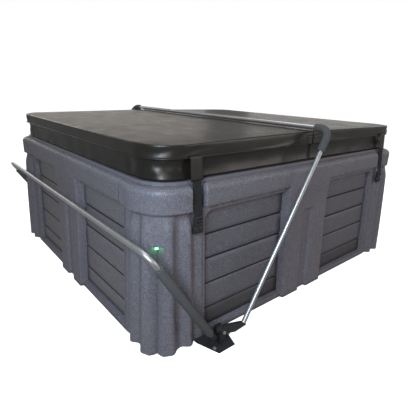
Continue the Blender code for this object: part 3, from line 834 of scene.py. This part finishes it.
def slab_skin(name):
    """The foam slab in its vinyl case: a ringed top, a band and a ringed underside."""
    fold = [
        (Vector((-FOLD_HALF_GAP, FOLD_START - FOLD_STEP * i)), Vector((1, 0)))
        for i in range(FOLD_POINTS)]
    ring = half_outline(0.0) + fold
    rows = []
    for share in TOP_SHARES:
        inner = [SLAB_MIDDLE + (p - SLAB_MIDDLE) * share for p, _ in ring]
        rows.append([Vector((*p, top_height(p.x))) for p in inner])
    for turn in EDGE_TURNS:
        inset = EDGE_R * (1 - sin(radians(turn)))
        drop = EDGE_R * (1 - cos(radians(turn)))
        rows.append([Vector((*(p - n * inset), top_height(p.x) - drop)) for p, n in ring])
    for height in BAND_HEIGHTS:
        row = []
        for point, normal in ring:
            gather = crumpled(point, normal)
            gather *= smooth(0.950, 0.930, height) * smooth(BAND_LOW, 0.908, height)
            crease = 0.009 * noise.noise(Vector((point.x * 19, point.y * 19, height * 40)))
            row.append(Vector((*(point + normal * (crease - 0.001) * gather), height)))
        rows.append(row)
    for inset, height in TURN_UNDER:
        rows.append([Vector((*(p - n * inset), height)) for p, n in ring])
    for share in UNDER_SHARES:
        inner = [SLAB_MIDDLE + (p - SLAB_MIDDLE) * share for p, _ in ring]
        rows.append([Vector((*p, COVER_LOW + 0.001)) for p in inner])
    made = grid(name, rows, VINYL_TOP, smooth_angle=60, closed=True)
    shape = bmesh.new()
    shape.from_mesh(made.data)
    bmesh.ops.holes_fill(shape, edges=[e for e in shape.edges if len(e.link_faces) == 1], sides=0)
    bmesh.ops.recalc_face_normals(shape, faces=shape.faces)
    shape.to_mesh(made.data)
    shape.free()
    return made


CLOTH_FRAMES = 20
CLOTH = {
    "use_pressure": True, "quality": 6, "mass": 0.6, "tension_stiffness": 15,
    "compression_stiffness": 15, "shear_stiffness": 5, "bending_stiffness": 2.0,
}


def relaxed(made, held, ease, pressure, shrink, cap):
    """Cloth under slight pressure: a point moves by its share of ease, and at most cap."""
    rest = [v.co.copy() for v in made.data.vertices]
    group = made.vertex_groups.new(name="held")
    group.add([i for i, co in enumerate(rest) if held(co)], 1.0, "REPLACE")
    cloth = made.modifiers.new("cloth", "CLOTH")
    cloth.settings.vertex_group_mass = "held"
    cloth.settings.uniform_pressure_force = pressure
    cloth.settings.shrink_min = shrink
    for key, value in CLOTH.items():
        setattr(cloth.settings, key, value)
    cloth.settings.effector_weights.gravity = 0.0
    cloth.collision_settings.use_collision = False
    cloth.point_cache.frame_start = 1
    cloth.point_cache.frame_end = CLOTH_FRAMES
    for step in range(1, CLOTH_FRAMES + 1):
        bpy.context.scene.frame_set(step)
    made = applied(made)
    for vertex, start in zip(made.data.vertices, rest):
        moved = (vertex.co - start) * ease(start)
        vertex.co = start + moved.normalized() * min(moved.length, cap)
    made.vertex_groups.clear()
    bpy.context.scene.frame_set(1)
    return made


def fold_or_edge(co):
    """The points that the cloth holds: at the fold, and under the band."""
    return co.x > -0.02 or co.z < BAND_LOW + 0.001


def from_fold(co):
    """0 at the fold, rising to 1 away from it."""
    return smooth(-0.02, -0.40, co.x)


slab = slab_skin("cover_slab_left")
slab = relaxed(slab, fold_or_edge, from_fold, pressure=1.2, shrink=-0.005, cap=0.0025)


def soft_skirt(name, lower, upper, seed):
    """The skirt under the band: a thin strip with slight waves, fuller at the corners."""
    outline = half_outline(SKIRT_IN, step=0.02)
    cells = 12
    rows = []
    for i in range(cells + 1):
        share = i / cells
        row = []
        for point, normal in outline:
            corner = crumpled(point, normal)
            wave = 0.004 * noise.noise(Vector((point.x * 9 + seed, point.y * 9, share)))
            pucker = 0.010 * noise.noise(Vector((point.x * 24, point.y * 24 + seed, 2.5 * share)))
            tuck = 0.004 * share - 0.005 * sin(pi * share)
            fade = sin(pi * min(1.0, 0.15 + share) / 1.15)
            out = tuck + wave * share + pucker * corner * fade
            uneven = abs(noise.noise(Vector((point.x * 11, point.y * 11 + seed, 7.0))))
            hem = 0.007 * uneven * (0.3 + corner)
            row.append(Vector((*(point + normal * out), upper - (upper - lower - hem) * share)))
        rows.append(row)
    # the skirt takes the darker vinyl, painted shade under the band
    return thickened(grid(name, rows, VINYL_SKIRT_SHADED, smooth_angle=60), SKIRT_THICK, offset=0.0)


def seam_welt(name, inset, height, radius):
    """A rolled welt along the band's lower edge."""
    path = [(*point, height) for point, _ in half_outline(inset, step=0.05)]
    made = poly_curve(name, path, radius, resolution=2)
    made.data.materials.append(WELT)
    return made


def turned_copy(made, name):
    """The same piece for the other half of the cover, turned half a turn about Z."""
    other = made.copy()
    other.data = made.data.copy()
    other.name = name
    linked(other)
    if made.type == "MESH":
        other.data.transform(Matrix.Rotation(pi, 4, "Z"))
    else:
        for point in other.data.splines[0].points:
            point.co = (-point.co.x, -point.co.y, point.co.z, 1.0)
    return other


skirt_left = soft_skirt("cover_skirt_left", SKIRT_LOW, BAND_LOW + 0.001, 3.0)
welt_left = seam_welt("cover_welt_left", 0.001, BAND_LOW, 0.0022)
halves = {
    "left": (slab, skirt_left, welt_left),
    "right": (
        turned_copy(slab, "cover_slab_right"),
        turned_copy(skirt_left, "cover_skirt_right"),
        turned_copy(welt_left, "cover_welt_right")),
}
for end, (body_slab, skirt, welt) in halves.items():
    stand_in(body_slab, f"cover_{end}", "cover_vinyl", f"cover_{end}")
    for trim in (skirt, welt):
        stand_in(trim, f"cover_{end}", "cover_vinyl")


# ---- fold: end flaps and hinge strip
def flap(name, low_x, high_x, sign_y, body):
    """A sewn vinyl flap on the band beside the fold, with raised edges."""
    cells = 8
    inner, outer = (1, cells - 1), (0, cells)
    rows = []
    for i in range(cells + 1):
        z = FLAP_LOW + FLAP_HEIGHT * i / cells
        row = []
        for j in range(cells + 1):
            x = low_x + (high_x - low_x) * j / cells
            rim = 0.0010 if i in inner or j in inner else 0.0
            edge = -0.002 if i in outer or j in outer else 0.0
            row.append(Vector((x, sign_y * (COVER_WIDE + FLAP_OUT + rim + edge), z)))
        rows.append(row if sign_y < 0 else row[::-1])
    made = grid(name, rows, WELT, smooth_angle=50)
    return stand_in(thickened(made, FLAP_THICK), body, "cover_vinyl")


for side, sign_y in SIDES.items():
    flap(f"flap_left_{side}", -0.046, -0.0045, sign_y, "cover_left")
    flap(f"flap_right_{side}", 0.0045, 0.088, sign_y, "cover_right")

middle = [-FOLD_HALF_GAP + 0.001 * i for i in range(9)]
across = [-HINGE_HALF, -0.032, -0.020, -0.010, *middle, 0.010, 0.020, 0.032, HINGE_HALF]
cells = 48
rows = []
for i in range(cells + 1):
    y = -HINGE_LENGTH / 2 + HINGE_LENGTH * i / cells
    row = []
    for x in across:
        stitched = 0.0010 if 0.025 < abs(x) < 0.036 else 0.0
        z = top_height(max(abs(x), FOLD_HALF_GAP)) + HINGE_LIFT + stitched
        row.append(Vector((x, y, z)))
    rows.append(row)
hinge = grid("fold_hinge", rows, VINYL_TOP, smooth_angle=60)
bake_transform(hinge)


# ---- tubes
def at(point, y):
    """A place from (x, z) in the lifter's plane and y."""
    return Vector((point.x, y, point.y))


def filleted(points, radius, steps=10):
    """A path through the points with each corner rounded."""
    path = [points[0]]
    for before, corner, after in zip(points, points[1:], points[2:]):
        back = (before - corner).normalized()
        ahead = (after - corner).normalized()
        half = back.angle(ahead) / 2
        centre = corner + (back + ahead).normalized() * radius / sin(half)
        first = corner + back * radius / tan(half) - centre
        last = corner + ahead * radius / tan(half) - centre
        turn = first.angle(last)
        for i in range(steps + 1):
            share = i / steps
            mix = first * sin((1 - share) * turn) + last * sin(share * turn)
            path.append(centre + mix / sin(turn))
    path.append(points[-1])
    return path


def tube(name, path, radius, look, capped=True):
    """A round tube as a mesh."""
    made = poly_curve(name, path, radius, 5, capped)
    seen = bpy.context.evaluated_depsgraph_get()
    mesh = bpy.data.meshes.new_from_object(made.evaluated_get(seen))
    bpy.data.objects.remove(made, do_unlink=True)
    shape = bmesh.new()
    shape.from_mesh(mesh)
    bmesh.ops.remove_doubles(shape, verts=shape.verts, dist=1e-6)
    return from_bmesh(name, shape, look, 45)


def foam_sleeve(name, path):
    """A foam sleeve round a tube, open at both ends."""
    made = tube(name, path, FOAM_IN, FOAM, capped=False)
    made = thickened(made, FOAM_OUT - FOAM_IN, offset=1.0)
    return modified(made, "BEVEL", width=0.003, segments=3, limit_method="ANGLE")


ALONG_ARM = Vector((cos(ARM_ANGLE), sin(ARM_ANGLE)))
ALONG_CRADLE = (CRADLE_BEND - CRADLE_FOOT).normalized()
for side, sign_y in SIDES.items():
    y = sign_y * ARM_Y
    on_arm = ELBOW_KNEE + ALONG_ARM * (ELBOW_SOCKET + SEAM)
    arm_path = filleted([at(on_arm, y), at(BAR, y), at(BAR, sign_y * JOINER_HALF)], BEND_R)
    arm = tube(f"arm_tube_{side}", arm_path, TUBE_R, STEEL)
    stand_in(arm, "lifter", "galvanised_tube", f"arm_{side}")
    sleeve_path = filleted(
        [at(BAR - ALONG_ARM * SLEEVE_ALONG, y), at(BAR, y), at(BAR, sign_y * SLEEVE_END_Y)], BEND_R)
    corner_foam = foam_sleeve(f"bend_sleeve_{side}", sleeve_path)
    stand_in(corner_foam, "lifter", "foam_sleeve", f"corner_foam_{side}")
    leg_foam = foam_sleeve(f"leg_sleeve_{side}", [
        at(CRADLE_FOOT + ALONG_CRADLE * LEG_SLEEVE_START, y),
        at(CRADLE_BEND - ALONG_CRADLE * LEG_SLEEVE_SHORT, y)])
    stand_in(leg_foam, "tub", "foam_sleeve", f"cradle_foam_{side}")
cradle_path = filleted([
    at(CRADLE_FOOT, -ARM_Y), at(CRADLE_BEND, -ARM_Y),
    at(CRADLE_BEND, ARM_Y), at(CRADLE_FOOT, ARM_Y)], BEND_R)
cradle = tube("cradle_tube", cradle_path, TUBE_R, STEEL)
stand_in(cradle, "tub", "galvanised_tube", "cradle_frame")


# ---- straps, buckles and locks
STRAP_X = 0.83
STRAP_TOP = Vector((0.0, 0.9525, 0.903))
STRAP_END = Vector((0.0, 0.9765, 0.6455))
WEBBING_HALF = 0.023
WEBBING_THICK = 0.0016
TAB_HALF = 0.032
BUCKLE_LOW = 0.6005
LOCK_LOW = 0.5662
LOCK_IN = 0.9687


def block(shape, low, high, bevel):
    """Adds a box with rounded edges to a bmesh."""
    made = bmesh.ops.create_cube(shape, size=1.0)["verts"]
    low, high = Vector(low), Vector(high)
    for vertex in made:
        share = vertex.co + Vector((0.5, 0.5, 0.5))
        vertex.co = Vector(low[i] + (high[i] - low[i]) * share[i] for i in range(3))
    edges = list({edge for vertex in made for edge in vertex.link_edges})
    eased(shape, edges, bevel, segments=3)


def on_side(sign_x, sign_y):
    """From the +Y side at x = 0 to a strap's place."""
    turn = Matrix.Rotation(pi, 4, "Z") if sign_y < 0 else Matrix.Identity(4)
    return Matrix.Translation((sign_x * STRAP_X, 0.0, 0.0)) @ turn


def blocks(name, parts, look, stand):
    """One object of rounded boxes, each given as (low, high, bevel)."""
    shape = bmesh.new()
    for low, high, bevel in parts:
        block(shape, low, high, bevel)
    bmesh.ops.transform(shape, matrix=stand, verts=shape.verts)
    return from_bmesh(name, shape, look, 40)


def webbing_strip(name, half, high, low, lift, stand, look, steps=24):
    """A hanging strip of webbing with a slight bow and rolled selvedges."""
    rows = []
    for i in range(steps + 1):
        share = i / steps
        z = high + (low - high) * share
        along = (STRAP_TOP.z - z) / (STRAP_TOP.z - STRAP_END.z)
        y = STRAP_TOP.y + (STRAP_END.y - STRAP_TOP.y) * along + lift - 0.0022 * sin(pi * along)
        rows.append([
            stand @ Vector((x, y + (0.0006 if abs(x) > 0.85 * half else 0.0), z))
            for x in (half * j / 6 for j in range(-6, 7))])
    return thickened(grid(name, rows, look, smooth_angle=60), WEBBING_THICK, offset=0.0)


for side, sign_y in SIDES.items():
    for end, sign_x in ENDS.items():
        tag = f"{side}_{end}"
        stand = on_side(sign_x, sign_y)
        web = webbing_strip(
            f"webbing_{tag}", WEBBING_HALF, 0.905, BUCKLE_LOW + 0.030, 0.0015, stand, WEBBING)
        stand_in(web, f"strap_{tag}", "strap_webbing", f"strap_{tag}")
        tab = webbing_strip(
            f"tab_{tag}", TAB_HALF, 0.906, 0.800, 0.0042, stand, WELT, steps=10)
        stand_in(tab, f"strap_{tag}", "cover_vinyl")
        y = STRAP_END.y + 0.001
        low, top = BUCKLE_LOW, STRAP_END.z
        # two side rails, the lower bar, the cross bar and the bar that the webbing turns round
        buckle = blocks(f"ladder_{tag}", [
            ((-0.0225, y - 0.008, low), (-0.0165, y + 0.008, top), 0.0025),
            ((0.0165, y - 0.008, low), (0.0225, y + 0.008, top), 0.0025),
            ((-0.021, y - 0.0055, low + 0.001), (0.021, y + 0.0065, low + 0.014), 0.0025),
            ((-0.020, y - 0.002, low + 0.019), (0.020, y + 0.0075, low + 0.026), 0.0020),
            ((-0.020, y - 0.004, top - 0.010), (0.020, y + 0.008, top - 0.001), 0.0025),
        ], BLACK, stand)
        stand_in(buckle, f"strap_{tag}", "black_plastic")
        y, low = LOCK_IN, LOCK_LOW
        # the body, two cheeks and the key's boss between them
        lock = blocks(f"lock_{tag}", [
            ((-0.026, y, low), (0.026, y + 0.016, low + 0.034), 0.004),
            ((-0.019, y + 0.010, low + 0.004), (-0.006, y + 0.0215, low + 0.028), 0.003),
            ((0.006, y + 0.010, low + 0.004), (0.019, y + 0.0215, low + 0.028), 0.003),
            ((-0.004, y + 0.010, low + 0.010), (0.004, y + 0.0185, low + 0.018), 0.0015),
        ], BLACK, stand)
        stand_in(lock, "tub", "black_plastic", f"lock_base_{tag}")


# ---- lifter feet
def round_bar(name, low, high, radius, look, sides=32):
    """A short bar between two points, round or six-sided, with its rims eased."""
    shape = bmesh.new()
    axis = Vector(high) - Vector(low)
    bmesh.ops.create_cone(
        shape, cap_ends=True, segments=sides, radius1=radius, radius2=radius, depth=axis.length)
    rims = [e for e in shape.edges if any(len(f.verts) > 4 for f in e.link_faces)]
    eased(shape, rims, 0.001)
    turn = axis.to_track_quat("Z", "Y").to_matrix().to_4x4()
    middle = (Vector(low) + Vector(high)) / 2
    bmesh.ops.transform(shape, matrix=Matrix.Translation(middle) @ turn, verts=shape.verts)
    return from_bmesh(name, shape, look, 35)


KNEE = ELBOW_KNEE + ALONG_ARM * 0.016
LINK_TOP = KNEE + (PIVOT - KNEE).normalized() * 0.030
GUSSET_FOOT = Vector((-0.642, 0.011))
GUSSET_EYE_R = 0.020
GUSSET_HALF = 0.0125
KNEE_R = 0.020
WASHER_IN = 0.0253
WASHER_THICK = 0.0018
WASHER_R = 0.0125
BOLT_R = 0.0095
BOLT_HIGH = 0.0067
BASE_TOP = 0.0052
# (x, distance out in y, height of the head) of each lag bolt in a base plate
LAGS = ((-0.80, 1.085, 0.006), (-0.675, 1.045, 0.015))


def gusset_link(name, y):
    """The gusset plate from the tube's foot to the swing bolt."""
    round_eye = [Vector((-sin(pi * i / 12), cos(pi * i / 12))) for i in range(13)]
    outline = [PIVOT + way * GUSSET_EYE_R for way in round_eye]
    outline += [
        GUSSET_FOOT,
        KNEE + Vector((0.012, -0.004)),
        KNEE + ALONG_ARM * 0.010 + Vector((0.010, -0.006)),
        KNEE + ALONG_ARM * 0.012 - Vector((0.014, -0.008)),
    ]
    shape = bmesh.new()
    near, far = (
        [shape.verts.new(at(point, y + offset)) for point in outline]
        for offset in (-GUSSET_HALF, GUSSET_HALF))
    shape.faces.new(near)
    shape.faces.new(far[::-1])
    for i in range(len(outline)):
        j = (i + 1) % len(outline)
        shape.faces.new((near[j], near[i], far[i], far[j]))
    bmesh.ops.recalc_face_normals(shape, faces=shape.faces)
    rims = [e for e in shape.edges if len(e.link_faces) == 2 and e.calc_face_angle() > 1.2]
    eased(shape, rims, 0.002)
    return from_bmesh(name, shape, COATED, 35)


for side, sign_y in SIDES.items():
    y = sign_y * ARM_Y
    foot_path = filleted(
        [at(LINK_TOP, y), at(KNEE, y), at(ELBOW_KNEE + ALONG_ARM * ELBOW_SOCKET, y)], KNEE_R)
    lower_arm = tube(f"arm_foot_{side}", foot_path, TUBE_R, STEEL)
    stand_in(lower_arm, "lifter", "galvanised_tube", f"elbow_{side}")
    link = gusset_link(f"link_{side}", y)
    stand_in(link, "lifter", "coated_steel")
    for way, tag in ((-1, "in"), (1, "out")):
        face = y + way * WASHER_IN
        head_low = face + way * WASHER_THICK
        washer = round_bar(
            f"washer_{side}_{tag}", at(PIVOT, face), at(PIVOT, head_low), WASHER_R, COATED)
        stand_in(washer, "tub", "coated_steel")
        head = round_bar(
            f"bolt_head_{side}_{tag}", at(PIVOT, head_low), at(PIVOT, head_low + way * BOLT_HIGH),
            BOLT_R, STEEL, sides=6)
        stand_in(head, "tub", "galvanised_tube")
    for number, (x, out, high) in enumerate(LAGS):
        low, top = ((x, sign_y * out, z) for z in (BASE_TOP, BASE_TOP + high))
        lag = round_bar(f"lag_{side}_{number}", low, top, BOLT_R, STEEL, sides=6)
        stand_in(lag, "tub", "galvanised_tube")


# ---- CAD nodes that keep their shape
def kept(name, look, bevel=0.0):
    """Gives a CAD node its look, and eased edges where it has a bevel."""
    made = nodes[name]
    made.data.materials.clear()
    made.data.materials.append(look)
    if bevel:
        modified(made, "DECIMATE", decimate_type="DISSOLVE", angle_limit=radians(2))
        modified(
            made, "BEVEL", width=bevel, segments=3, limit_method="ANGLE", angle_limit=radians(40))


KEPT = {
    "base_pan": (PAN,), "vessel": (SHELL, 0.006), "filter_lid": (SHELL, 0.004),
    "filter_cartridge": (PLEATS,), "keypad": (BLACK, 0.001), "diverter_knob": (BLACK, 0.001),
    "bar_joiner": (STEEL,), "heater": (STEEL,), "pump_motor": (MOTOR,),
    "pump_wet_end": (BLACK, 0.004), "control_box": (BLACK, 0.004),
}
for name, setting in KEPT.items():
    kept(name, *setting)
for side in SIDES:
    kept(f"jet_{side}", BLACK, 0.002)
    kept(f"pivot_bolt_{side}", STEEL)
    kept(f"lifter_base_{side}", COATED, 0.0015)
    for end in ENDS:
        kept(f"corner_lamp_{side}_{end}", LENS)

# ---- floor
bpy.ops.mesh.primitive_plane_add(size=60.0, location=(0, 0, -0.0005))
floor = bpy.context.object
floor.name = "floor"
floor.data.materials.append(floor_look.material)
floor.visible_diffuse = False
floor.visible_glossy = False
floor.visible_shadow = False
